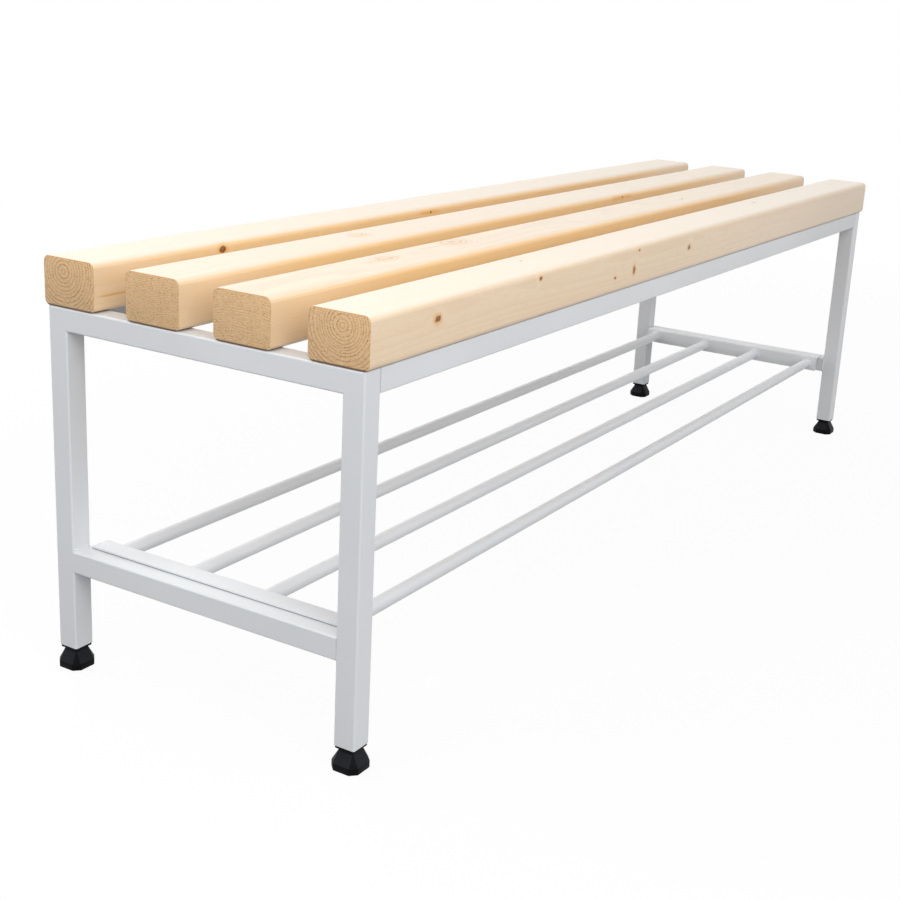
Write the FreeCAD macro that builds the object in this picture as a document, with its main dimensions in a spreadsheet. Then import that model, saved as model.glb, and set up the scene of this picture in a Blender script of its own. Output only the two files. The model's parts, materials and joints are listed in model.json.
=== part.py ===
import FreeCAD, Part
import os
import Sketcher

# Locker room bench: four pine slats on two welded end frames of square tube, two long rails
# plugged between the end frames, a shoe rack hung on the lower crossbars and four screw-in feet.
# Millimetres, +Z up, X along the bench, origin on the floor under the middle of the bench.

# Driving dimensions: alias, value and meaning
DIMENSIONS = [
    ("frameLength", 1500, "steel frame over both end frames"),
    ("frameDepth", 400, "steel frame from front to rear"),
    ("legLength", 382, "leg tube from its lower end to the frame top"),
    ("tubeSide", 25, "outer side of the square frame tube"),
    ("tubeWall", 1.5, "wall of the square frame tube"),
    ("tubeRadius", 2, "outer corner radius of the square frame tube"),
    ("lowBarTop", 115, "top of the lower crossbar above the lower end of the legs"),
    ("slatWidth", 70, "slat width"),
    ("slatHeight", 52, "slat thickness"),
    ("slatRadius", 7, "radius on the long edges of a slat"),
    ("slatOverhang", 4.5, "outer slats beyond the frame at the front and the rear"),
    ("railGap", 0.25, "seam between a rail end and the leg"),
    ("spigotLength", 40, "stub that plugs into a rail end"),
    ("spigotWall", 2, "wall of the stub"),
    ("spigotPlay", 0.3, "play between the stub and the inside of the rail"),
    ("lockInset", 20, "rail locking screw from the leg face"),
    ("lockDiameter", 5, "rail locking screw shank"),
    ("lockHead", 9.5, "rail locking screw head"),
    ("lockHeadHeight", 2.7, "rail locking screw head height"),
    ("lockTip", 2, "rail locking screw past the stub wall"),
    ("screwDiameter", 5, "slat screw shank"),
    ("screwHead", 9.5, "slat screw head"),
    ("screwHeadHeight", 2.7, "slat screw head height"),
    ("screwGrip", 32, "slat screw in the wood"),
    ("screwPlay", 0.15, "radial play round a screw"),
    ("screwSpare", 2, "pilot hole past the screw point"),
    ("screwPitch", 36, "two screws of a middle slat"),
    ("outerScrewPitch", 20, "two screws of an outer slat"),
    ("outerScrewShift", 12.5, "screws of an outer slat from its middle line"),
    ("rackSide", 25, "rack angle leg"),
    ("rackWall", 3, "rack angle thickness"),
    ("rackBend", 3, "outer radius of the rack angle's corner"),
    ("rackRoot", 2, "inner radius of the rack angle's corner"),
    ("rackSeat", 6, "rack angle's seat on the crossbar"),
    ("rackEndGap", 8, "rack angle short of the leg"),
    ("rackTube", 16, "rack tube diameter"),
    ("rackTubeWall", 1.5, "rack tube wall"),
    ("rackTubeDrop", 12.5, "rack tube axis below the rack top"),
    ("rackTubePitch", 100, "spacing of the rack tubes"),
    ("plugFlange", 3, "plug flange under the leg"),
    ("flangeInset", 0.7, "plug flange inside the leg's faces"),
    ("plugInsert", 24, "plug inside the leg"),
    ("plugPlay", 0.3, "play between the plug fins and the leg"),
    ("plugCore", 18.5, "side of the plug core"),
    ("finStart", 3, "first plug fin above the flange"),
    ("finPitch", 5, "spacing of the plug fins"),
    ("finThickness", 1.6, "plug fin thickness"),
    ("nutAcross", 13, "captive nut across its flats"),
    ("nutHeight", 6.5, "captive nut height"),
    ("nutPlay", 0.2, "play round the captive nut"),
    ("studDiameter", 8, "foot stud diameter"),
    ("studLength", 55, "foot stud length"),
    ("studSunk", 12, "foot stud inside the foot"),
    ("studPlay", 0.3, "radial play round the foot stud"),
    ("footSide", 33, "foot across its flat sides"),
    ("footCorner", 7, "cut on the foot corners"),
    ("footBand", 8, "upright band of the foot"),
    ("footSlope", 12.5, "sloping part of the foot"),
    ("footNeck", 2.5, "upright neck of the foot"),
    ("neckSide", 18.5, "neck across its flat sides"),
    ("neckCorner", 1, "cut on the neck corners"),
    ("footEdge", 1, "bevel round the sole of the foot"),
]
SLAT_NAMES = ("front", "mid_front", "mid_rear", "rear")
PLUG_FINS = 4
CUT_MARGIN = 1.0

ALONG_X = FreeCAD.Rotation(FreeCAD.Vector(0, 1, 0), 90)
ALONG_Y = FreeCAD.Rotation(FreeCAD.Vector(1, 0, 0), -90)
UPRIGHT = FreeCAD.Rotation()
HALF_TURN = FreeCAD.Rotation(FreeCAD.Vector(0, 0, 1), 180)

# Heights and lengths worked out from the driving dimensions
FOOT_HEIGHT = "(Sizes.footBand + Sizes.footSlope + Sizes.footNeck)"
LEG_BOTTOM = f"({FOOT_HEIGHT} + Sizes.plugFlange)"
FRAME_TOP = f"({LEG_BOTTOM} + Sizes.legLength)"
LEG_X = "((Sizes.frameLength - Sizes.tubeSide) / 2)"
LEG_Y = "((Sizes.frameDepth - Sizes.tubeSide) / 2)"
TUBE_BORE = "(Sizes.tubeSide - 2 * Sizes.tubeWall)"
BORE_RADIUS = "(Sizes.tubeRadius - Sizes.tubeWall)"
RAIL_LENGTH = "(Sizes.frameLength - 2 * Sizes.tubeSide - 2 * Sizes.railGap)"
RAIL_Z = f"({FRAME_TOP} - Sizes.tubeSide / 2)"
SLAT_PITCH = "((Sizes.frameDepth + 2 * Sizes.slatOverhang - Sizes.slatWidth) / 3)"
RACK_TOP = f"({LEG_BOTTOM} + Sizes.lowBarTop + Sizes.rackWall)"
RACK_REACH = "(Sizes.tubeSide - Sizes.rackSeat)"
RACK_Y = "(Sizes.frameDepth / 2 - Sizes.tubeSide - Sizes.rackEndGap)"
STUD_BORE = "(Sizes.studDiameter + 2 * Sizes.studPlay)"

doc = FreeCAD.newDocument("LockerRoomBench")
sheet = doc.addObject("Spreadsheet::Sheet", "Sizes")
nodes = []


def fill_sheet():
    for row, (alias, value, meaning) in enumerate(DIMENSIONS, start=1):
        sheet.set(f"A{row}", meaning)
        sheet.set(f"B{row}", str(value))
        sheet.setAlias(f"B{row}", alias)
    doc.recompute()


def number(expression):
    return float(sheet.evalExpression(expression))


def new_body(label):
    body = doc.addObject("PartDesign::Body", label)
    body.Label = label
    return body


def new_sketch(body, name, role="XY_Plane", offset="0"):
    plane = next(item for item in body.Origin.OriginFeatures if item.Role == role)
    sketch = body.newObject("Sketcher::SketchObject", name)
    sketch.AttachmentSupport = [(plane, "")]
    sketch.MapMode = "FlatFace"
    sketch.setExpression("AttachmentOffset.Base.z", offset)
    return sketch


def bind(sketch, constraint, expression):
    index = sketch.addConstraint(constraint)
    sketch.setExpression(f"Constraints[{index}]", expression)


def fix_point(sketch, geometry, position, x, y):
    for axis, expression, datum_line in (("X", x, -2), ("Y", y, -1)):
        value = number(expression)
        if value == 0:
            sketch.addConstraint(Sketcher.Constraint("PointOnObject", geometry, position, datum_line))
        elif value > 0:
            bind(sketch, Sketcher.Constraint(f"Distance{axis}", -1, 1, geometry, position, value), expression)
        else:
            bind(sketch, Sketcher.Constraint(f"Distance{axis}", geometry, position, -1, 1, -value),
                 f"-({expression})")


def draw_polygon(sketch, points):
    corners = [FreeCAD.Vector(number(x), number(y), 0) for x, y in points]
    count = len(corners)
    first = sketch.GeometryCount
    for i in range(count):
        sketch.addGeometry(Part.LineSegment(corners[i], corners[(i + 1) % count]), False)
    for i in range(count):
        sketch.addConstraint(Sketcher.Constraint("Coincident", first + i, 2, first + (i + 1) % count, 1))
    for i, (x, y) in enumerate(points):
        fix_point(sketch, first + i, 1, x, y)


def draw_circle(sketch, diameter, x="0", y="0"):
    centre = FreeCAD.Vector(number(x), number(y), 0)
    circle = Part.Circle(centre, FreeCAD.Vector(0, 0, 1), number(diameter) / 2)
    index = sketch.addGeometry(circle, False)
    bind(sketch, Sketcher.Constraint("Diameter", index, number(diameter)), diameter)
    if number(x) == 0 and number(y) == 0:
        sketch.addConstraint(Sketcher.Constraint("Coincident", index, 3, -1, 1))
    else:
        fix_point(sketch, index, 3, x, y)


def draw_rounded_rectangle(sketch, width, height, radius):
    half_x = number(width) / 2
    half_y = number(height) / 2
    r = number(radius)
    first = sketch.GeometryCount
    turns = [(1, -1, 270), (1, 1, 0), (-1, 1, 90), (-1, -1, 180)]
    up = FreeCAD.Vector(0, 0, 1)
    arcs = []
    for sx, sy, start in turns:
        centre = FreeCAD.Vector(sx * (half_x - r), sy * (half_y - r), 0)
        begin = FreeCAD.Units.Quantity(f"{start} deg").getValueAs("rad").Value
        quarter = FreeCAD.Units.Quantity("90 deg").getValueAs("rad").Value
        arcs.append(Part.ArcOfCircle(Part.Circle(centre, up, r), begin, begin + quarter))
    for i, arc in enumerate(arcs):
        sketch.addGeometry(arc, False)
        sketch.addGeometry(Part.LineSegment(arc.EndPoint, arcs[(i + 1) % 4].StartPoint), False)
    for i in range(4):
        arc = first + 2 * i
        line = arc + 1
        next_arc = first + (2 * i + 2) % 8
        sketch.addConstraint(Sketcher.Constraint("Tangent", arc, 2, line, 1))
        sketch.addConstraint(Sketcher.Constraint("Tangent", line, 2, next_arc, 1))
        sketch.addConstraint(Sketcher.Constraint("Vertical" if i % 2 == 0 else "Horizontal", line))
    for i in range(3):
        sketch.addConstraint(Sketcher.Constraint("Equal", first + 2 * i, first + 2 * i + 2))
    sketch.addConstraint(Sketcher.Constraint("Symmetric", first, 3, first + 4, 3, -1, 1))
    bind(sketch, Sketcher.Constraint("Radius", first, r), radius)
    bind(sketch, Sketcher.Constraint("DistanceX", first + 5, 1, first + 1, 1, 2 * half_x), width)
    bind(sketch, Sketcher.Constraint("DistanceY", first + 7, 1, first + 3, 1, 2 * half_y), height)


def cut_square(side, corner):
    half = f"({side} / 2)"
    inner = f"({side} / 2 - {corner})"
    return [(half, f"-{inner}"), (half, inner), (inner, half), (f"-{inner}", half),
            (f"-{half}", inner), (f"-{half}", f"-{inner}"), (f"-{inner}", f"-{half}"), (inner, f"-{half}")]


def pad(body, sketch, length):
    feature = body.newObject("PartDesign::Pad", "Pad")
    feature.Profile = sketch
    feature.setExpression("Length", length)
    sketch.Visibility = False
    doc.recompute()
    return feature


def pocket(body, sketch, length=None, towards_normal=False):
    before = body.Shape.Volume
    feature = body.newObject("PartDesign::Pocket", "Pocket")
    feature.Profile = sketch
    if length is None:
        feature.Type = "ThroughAll"
        feature.Midplane = True
    else:
        feature.setExpression("Length", length)
        feature.Reversed = towards_normal
    doc.recompute()
    if body.Shape.Volume >= before:
        raise RuntimeError(f"{body.Label}: {sketch.Label} cuts nothing")
    return feature


def revolve(body, sketch):
    feature = body.newObject("PartDesign::Revolution", "Revolution")
    feature.Profile = sketch
    feature.ReferenceAxis = (sketch, ["V_Axis"])
    feature.Angle = 360
    doc.recompute()
    return feature


def dress(body, kind, base, wanted, size, size_expression):
    names = [f"Edge{i}" for i, edge in enumerate(base.Shape.Edges, start=1) if wanted(edge)]
    feature = body.newObject(f"PartDesign::{kind}", kind)
    feature.Base = (base, names)
    feature.setExpression(size, size_expression)
    doc.recompute()
    return feature


def long_edge_at(x, y):
    def wanted(edge):
        middle = edge.BoundBox.Center
        upright = edge.BoundBox.ZLength > edge.BoundBox.XLength + edge.BoundBox.YLength
        return upright and abs(middle.x - x) < 0.01 and abs(middle.y - y) < 0.01
    return wanted


def place(item, x, y, z, rotation=UPRIGHT):
    item.Placement = FreeCAD.Placement(FreeCAD.Vector(), rotation)
    item.setExpression("Placement.Base.x", x)
    item.setExpression("Placement.Base.y", y)
    item.setExpression("Placement.Base.z", z)
    nodes.append(item)


def square_tube(label, length):
    body = new_body(label)
    section = new_sketch(body, "Section")
    draw_rounded_rectangle(section, "Sizes.tubeSide", "Sizes.tubeSide", "Sizes.tubeRadius")
    draw_rounded_rectangle(section, TUBE_BORE, TUBE_BORE, BORE_RADIUS)
    pad(body, section, length)
    return body


def mitre(body, ends):
    half = f"(Sizes.tubeSide / 2 + {CUT_MARGIN})"
    sketch = new_sketch(body, "Mitre", "YZ_Plane")
    for end, sign in ends:
        outside = f"({end} + {sign * CUT_MARGIN})"
        inside = f"({end} - ({sign}) * (Sizes.tubeSide + {CUT_MARGIN}))"
        draw_polygon(sketch, [(f"-{half}", outside), (half, inside), (half, outside)])
    pocket(body, sketch)


# Screw stations along Y: the two screws of each slat, seen from the front
def screw_stations(index):
    middle = slat_y(index)
    shift = {0: "+ Sizes.outerScrewShift", 3: "- Sizes.outerScrewShift"}.get(index, "+ 0")
    spread = "Sizes.outerScrewPitch" if index in (0, 3) else "Sizes.screwPitch"
    return [f"({middle} {shift} {side} {spread} / 2)" for side in ("-", "+")]


def slat_y(index):
    return f"(({index} - 1.5) * {SLAT_PITCH})"


# Legs, with a mitred top that meets the top crossbar
def make_legs():
    for side, sx in (("left", "-"), ("right", "")):
        for end, sy, turn in (("front", "-", UPRIGHT), ("rear", "", HALF_TURN)):
            leg = square_tube(f"leg_{side}_{end}", "Sizes.legLength")
            mitre(leg, [("Sizes.legLength", 1)])
            place(leg, f"{sx}{LEG_X}", f"{sy}{LEG_Y}", LEG_BOTTOM, turn)


# Crossbars of the two end frames, the top one bored for the slat screws
def make_crossbars():
    for side, sx in (("left", "-"), ("right", "")):
        top = square_tube(f"top_crossbar_{side}", "Sizes.frameDepth")
        mitre(top, [("0", -1), ("Sizes.frameDepth", 1)])
        holes = new_sketch(top, "ScrewHoles", "XZ_Plane")
        for index in range(len(SLAT_NAMES)):
            for station in screw_stations(index):
                draw_circle(holes, "Sizes.screwDiameter + 2 * Sizes.screwPlay", "0",
                            f"Sizes.frameDepth / 2 + {station}")
        pocket(top, holes)
        place(top, f"{sx}{LEG_X}", "-Sizes.frameDepth / 2", RAIL_Z, ALONG_Y)
        low = square_tube(f"lower_crossbar_{side}", "Sizes.frameDepth - 2 * Sizes.tubeSide")
        place(low, f"{sx}{LEG_X}", "Sizes.tubeSide - Sizes.frameDepth / 2",
              f"{LEG_BOTTOM} + Sizes.lowBarTop - Sizes.tubeSide / 2", ALONG_Y)


# Long rails, each with a locking screw hole near both ends
def make_rails():
    hole = "Sizes.lockDiameter + 2 * Sizes.screwPlay"
    inset = "(Sizes.lockInset - Sizes.railGap)"
    for end, sy in (("front", "-"), ("rear", "")):
        rail = square_tube(f"{end}_rail", RAIL_LENGTH)
        holes = new_sketch(rail, "LockHoles", "YZ_Plane")
        draw_circle(holes, hole, "0", inset)
        draw_circle(holes, hole, "0", f"{RAIL_LENGTH} - {inset}")
        pocket(rail, holes, "Sizes.tubeSide", True)
        place(rail, f"-{RAIL_LENGTH} / 2", f"{sy}{LEG_Y}", RAIL_Z, ALONG_X)


# Stubs welded to the legs, which carry the rail ends
def make_spigots():
    outer = f"({TUBE_BORE} - 2 * Sizes.spigotPlay)"
    inner = f"({outer} - 2 * Sizes.spigotWall)"
    face = "(Sizes.frameLength / 2 - Sizes.tubeSide)"
    starts = {"left": (f"-{face}", "Sizes.lockInset"),
              "right": (f"{face} - Sizes.spigotLength", "Sizes.spigotLength - Sizes.lockInset")}
    for side, (start, inset) in starts.items():
        for end, sy in (("front", "-"), ("rear", "")):
            stub = new_body(f"rail_spigot_{side}_{end}")
            section = new_sketch(stub, "Section")
            draw_polygon(section, cut_square(outer, "Sizes.tubeRadius / 2"))
            draw_polygon(section, cut_square(inner, "Sizes.tubeRadius / 2"))
            pad(stub, section, "Sizes.spigotLength")
            hole = new_sketch(stub, "LockHole", "YZ_Plane")
            draw_circle(hole, "Sizes.lockDiameter + 2 * Sizes.screwPlay", "0", inset)
            pocket(stub, hole, "Sizes.tubeSide", True)
            place(stub, start, f"{sy}{LEG_Y}", RAIL_Z, ALONG_X)


# Slats with blind pilot holes in the underside
def make_slats():
    for index, name in enumerate(SLAT_NAMES):
        slat = new_body(f"slat_{name}")
        section = new_sketch(slat, "Section")
        draw_rounded_rectangle(section, "Sizes.slatHeight", "Sizes.slatWidth", "Sizes.slatRadius")
        pad(slat, section, "Sizes.frameLength")
        pilots = new_sketch(slat, "PilotHoles", "YZ_Plane", "Sizes.slatHeight / 2")
        for station in screw_stations(index):
            for along in ("Sizes.tubeSide / 2", "Sizes.frameLength - Sizes.tubeSide / 2"):
                draw_circle(pilots, "Sizes.screwDiameter + 2 * Sizes.screwPlay",
                            f"{station} - {slat_y(index)}", along)
        pocket(slat, pilots, "Sizes.screwGrip + Sizes.screwSpare")
        place(slat, "-Sizes.frameLength / 2", slat_y(index), f"{FRAME_TOP} + Sizes.slatHeight / 2", ALONG_X)


# A pan-head screw that points up from the underside of its head
def pan_screw(label, shank, head, head_height, length):
    body = new_body(label)
    half = new_sketch(body, "Half", "XZ_Plane")
    draw_polygon(half, [("0", f"-{head_height}"), (f"{head} / 2", f"-{head_height}"), (f"{head} / 2", "0"),
                        (f"{shank} / 2", "0"), (f"{shank} / 2", length), ("0", length)])
    revolve(body, half)
    return body


def screw_group(label, screw, spots):
    copies = []
    for x, y, z in spots:
        copy = screw.Shape.copy()
        copy.translate(FreeCAD.Vector(number(x), number(y), number(z)))
        copies.append(copy)
    group = doc.addObject("Part::Feature", label)
    group.Label = label
    group.Shape = Part.makeCompound(copies)
    nodes.append(group)


# Slat screws from below through the top crossbars, and the rail locking screws
def make_screws():
    slat_screw = pan_screw("slat_screw_pattern", "Sizes.screwDiameter", "Sizes.screwHead",
                           "Sizes.screwHeadHeight", "Sizes.tubeSide + Sizes.screwGrip")
    under = f"{FRAME_TOP} - Sizes.tubeSide"
    for side, sx in (("left", "-"), ("right", "")):
        spots = [(f"{sx}{LEG_X}", station, under)
                 for index in range(len(SLAT_NAMES)) for station in screw_stations(index)]
        screw_group(f"slat_screws_{side}", slat_screw, spots)
    lock_screw = pan_screw("lock_screw_pattern", "Sizes.lockDiameter", "Sizes.lockHead",
                           "Sizes.lockHeadHeight",
                           "Sizes.tubeWall + Sizes.spigotPlay + Sizes.spigotWall + Sizes.lockTip")
    along = "(Sizes.frameLength / 2 - Sizes.tubeSide - Sizes.lockInset)"
    corners = [(f"{sx}{along}", f"{sy}{LEG_Y}", under) for sx in ("-", "") for sy in ("-", "")]
    screw_group("rail_lock_screws", lock_screw, corners)


# Shoe rack: two angles whose flanges rest on the lower crossbars, and the round tubes between them
def make_rack():
    outline = [("0", "0"), ("Sizes.rackSide", "0"), ("Sizes.rackSide", "Sizes.rackSide"),
               ("Sizes.rackSide - Sizes.rackWall", "Sizes.rackSide"),
               ("Sizes.rackSide - Sizes.rackWall", "Sizes.rackWall"), ("0", "Sizes.rackWall")]
    outer_edge = f"(Sizes.frameLength / 2 - {RACK_REACH})"
    web = number("Sizes.rackSide - Sizes.rackWall")
    for side, sx, sy, turn in (("left", "-", "-", ALONG_Y), ("right", "", "", HALF_TURN.multiply(ALONG_Y))):
        angle = new_body(f"rack_angle_{side}")
        section = new_sketch(angle, "Section")
        draw_polygon(section, outline)
        bar = pad(angle, section, f"2 * {RACK_Y}")
        corner = long_edge_at(number("Sizes.rackSide"), 0)
        bent = dress(angle, "Fillet", bar, corner, "Radius", "Sizes.rackBend")
        root = long_edge_at(web, number("Sizes.rackWall"))
        dress(angle, "Fillet", bent, root, "Radius", "Sizes.rackRoot")
        place(angle, f"{sx}{outer_edge}", f"{sy}{RACK_Y}", RACK_TOP, turn)
    length = f"(Sizes.frameLength - 2 * ({RACK_REACH} + Sizes.rackSide))"
    for index, name in enumerate(SLAT_NAMES):
        tube = new_body(f"rack_tube_{name}")
        section = new_sketch(tube, "Section")
        draw_circle(section, "Sizes.rackTube")
        draw_circle(section, "Sizes.rackTube - 2 * Sizes.rackTubeWall")
        pad(tube, section, length)
        place(tube, f"-{length} / 2", f"({index} - 1.5) * Sizes.rackTubePitch",
              f"{RACK_TOP} - Sizes.rackTubeDrop", ALONG_X)


def hexagon(across):
    tall = f"({across} / 2)"
    side = f"({across} / 2 * tan(30 deg))"
    point = f"({across} / 2 / cos(30 deg))"
    return [(point, "0"), (side, tall), (f"-{side}", tall), (f"-{point}", "0"),
            (f"-{side}", f"-{tall}"), (side, f"-{tall}")]


# Finned plug in the lower end of a leg, with a seat for its captive nut
def make_plug(label):
    plug = new_body(label)
    flange = new_sketch(plug, "Flange")
    flange_side = "(Sizes.tubeSide - 2 * Sizes.flangeInset)"
    draw_rounded_rectangle(flange, flange_side, flange_side, "Sizes.tubeRadius")
    pad(plug, flange, "Sizes.plugFlange")
    core = new_sketch(plug, "Core", offset="Sizes.plugFlange")
    draw_polygon(core, cut_square("Sizes.plugCore", "Sizes.tubeRadius"))
    pad(plug, core, "Sizes.plugInsert")
    for index in range(PLUG_FINS):
        height = f"Sizes.plugFlange + Sizes.finStart + {index} * Sizes.finPitch"
        fin = new_sketch(plug, "Fin", offset=height)
        draw_polygon(fin, cut_square(f"({TUBE_BORE} - 2 * Sizes.plugPlay)", "Sizes.tubeRadius"))
        pad(plug, fin, "Sizes.finThickness")
    bore = new_sketch(plug, "Bore")
    draw_circle(bore, STUD_BORE)
    pocket(plug, bore)
    seat = new_sketch(plug, "NutSeat", offset="Sizes.plugFlange + Sizes.plugInsert")
    draw_polygon(seat, hexagon("(Sizes.nutAcross + 2 * Sizes.nutPlay)"))
    pocket(plug, seat, "Sizes.nutHeight")
    return plug


def make_nut(label):
    nut = new_body(label)
    section = new_sketch(nut, "Section")
    draw_polygon(section, hexagon("Sizes.nutAcross"))
    draw_circle(section, STUD_BORE)
    pad(nut, section, "Sizes.nutHeight")
    return nut


def make_stud(label):
    stud = new_body(label)
    section = new_sketch(stud, "Section")
    draw_circle(section, "Sizes.studDiameter")
    pad(stud, section, "Sizes.studLength")
    return stud


# One pair of sloping facets on opposite sides of the foot, turned about its axis
def slope_foot(foot, turn, low, high):
    shoulder = "Sizes.footBand"
    top = "(Sizes.footBand + Sizes.footSlope)"
    sketch = new_sketch(foot, "Slope", "XZ_Plane")
    about_axis = FreeCAD.Rotation(FreeCAD.Vector(0, 1, 0), turn)
    sketch.AttachmentOffset = FreeCAD.Placement(FreeCAD.Vector(), about_axis)
    for side in ("", "-"):
        outside = f"{side}({low} + {CUT_MARGIN})"
        above = f"({top} + {CUT_MARGIN})"
        inside = f"{side}({high})"
        draw_polygon(sketch, [(f"{side}({low})", shoulder), (inside, top), (inside, above),
                              (outside, above), (outside, shoulder)])
    pocket(foot, sketch)


# Faceted foot: a square band with cut corners, sloping facets and a small square neck
def make_foot(label):
    foot = new_body(label)
    band = new_sketch(foot, "Band")
    draw_polygon(band, cut_square("Sizes.footSide", "Sizes.footCorner"))
    pad(foot, band, "Sizes.footBand + Sizes.footSlope")
    for turn in (0, 90):
        slope_foot(foot, turn, "Sizes.footSide / 2", "Sizes.neckSide / 2")
    for turn in (45, 135):
        slope_foot(foot, turn, "(Sizes.footSide - Sizes.footCorner) / sqrt(2)",
                   "(Sizes.neckSide - Sizes.neckCorner) / sqrt(2)")
    neck = new_sketch(foot, "Neck", offset="Sizes.footBand + Sizes.footSlope")
    draw_polygon(neck, cut_square("Sizes.neckSide", "Sizes.neckCorner"))
    solid = pad(foot, neck, "Sizes.footNeck")
    dress(foot, "Chamfer", solid, lambda edge: edge.BoundBox.ZMax < 0.01, "Size", "Sizes.footEdge")
    socket = new_sketch(foot, "StudSocket", offset=FOOT_HEIGHT)
    draw_circle(socket, STUD_BORE)
    pocket(foot, socket, "Sizes.studSunk")
    return foot


def make_feet():
    nut_z = f"{LEG_BOTTOM} + Sizes.plugInsert - Sizes.nutHeight"
    for side, sx in (("left", "-"), ("right", "")):
        for end, sy in (("front", "-"), ("rear", "")):
            corner = f"{side}_{end}"
            spot = (f"{sx}{LEG_X}", f"{sy}{LEG_Y}")
            place(make_plug(f"leg_plug_{corner}"), *spot, FOOT_HEIGHT)
            place(make_nut(f"plug_nut_{corner}"), *spot, nut_z)
            place(make_stud(f"foot_stud_{corner}"), *spot, f"{FOOT_HEIGHT} - Sizes.studSunk")
            place(make_foot(f"foot_base_{corner}"), *spot, "0")


def check_document():
    doc.recompute()
    for item in doc.Objects:
        if "Invalid" in item.State or "Error" in item.State:
            raise RuntimeError(f"{item.Label} did not build: {item.State}")
    for node in nodes:
        if node.Shape.isNull() or not node.Shape.isValid():
            raise RuntimeError(f"{node.Label} has no valid shape")


def export_nodes():
    os.makedirs("parts", exist_ok=True)
    for node in nodes:
        node.Shape.exportStep(f"parts/{node.Label}.step")
        box = node.Shape.BoundBox
        print(f"{node.Label}: {len(node.Shape.Solids)} solid(s), {node.Shape.Volume / 1000:.1f} cm3, "
              f"{box.XLength:.1f} x {box.YLength:.1f} x {box.ZLength:.1f} mm")


fill_sheet()
make_legs()
make_crossbars()
make_rails()
make_spigots()
make_slats()
make_screws()
make_rack()
make_feet()
check_document()
export_nodes()
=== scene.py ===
import bmesh
import bpy
import json
import math
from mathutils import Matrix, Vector


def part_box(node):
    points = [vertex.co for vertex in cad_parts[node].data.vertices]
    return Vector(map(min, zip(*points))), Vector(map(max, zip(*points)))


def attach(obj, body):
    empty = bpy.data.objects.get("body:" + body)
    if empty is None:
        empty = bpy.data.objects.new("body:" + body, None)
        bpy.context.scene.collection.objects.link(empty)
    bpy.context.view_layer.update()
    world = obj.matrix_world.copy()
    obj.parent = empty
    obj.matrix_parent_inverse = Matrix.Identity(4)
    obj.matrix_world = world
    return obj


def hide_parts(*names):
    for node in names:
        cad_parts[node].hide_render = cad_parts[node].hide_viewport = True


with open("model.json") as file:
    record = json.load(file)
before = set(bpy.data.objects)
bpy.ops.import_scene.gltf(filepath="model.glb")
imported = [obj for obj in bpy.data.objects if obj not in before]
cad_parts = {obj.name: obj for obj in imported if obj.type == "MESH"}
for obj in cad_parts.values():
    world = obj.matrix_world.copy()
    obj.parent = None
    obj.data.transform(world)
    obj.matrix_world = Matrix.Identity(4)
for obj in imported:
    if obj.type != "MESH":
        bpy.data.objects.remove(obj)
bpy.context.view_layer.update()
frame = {"nodes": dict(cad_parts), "record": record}
mm = 0.001
quarterTurn = math.pi / 2
noTurn = (0.0, 0.0, 0.0)
white = (1.0, 1.0, 1.0)
ends = ("left", "right")
sides = ("front", "rear")
corners = [f"{end}_{side}" for end in ends for side in sides]
rows = ("front", "mid_front", "mid_rear", "rear")
print("frame loaded,", len(frame["nodes"]), "nodes")


# a wrapped socket: an expression on it adds Math nodes to its tree
class Wire:
    def __init__(self, tree, socket):
        self.tree = tree
        self.socket = socket

    def math(self, operation, *values):
        made = self.tree.nodes.new("ShaderNodeMath")
        made.operation = operation
        for slot, value in zip(made.inputs, values):
            feed(self.tree, slot, value)
        return Wire(self.tree, made.outputs[0])

    def __add__(self, other):
        return self.math("ADD", self, other)

    def __radd__(self, other):
        return self.math("ADD", other, self)

    def __sub__(self, other):
        return self.math("SUBTRACT", self, other)

    def __rsub__(self, other):
        return self.math("SUBTRACT", other, self)

    def __mul__(self, other):
        return self.math("MULTIPLY", self, other)

    def __rmul__(self, other):
        return self.math("MULTIPLY", other, self)

    def __truediv__(self, other):
        return self.math("DIVIDE", self, other)

    def __abs__(self):
        return self.math("ABSOLUTE", self)

    def fraction(self):
        return self.math("FRACT", self)

    def root(self):
        return self.math("SQRT", self)

    def largest(self, other):
        return self.math("MAXIMUM", self, other)


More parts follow.
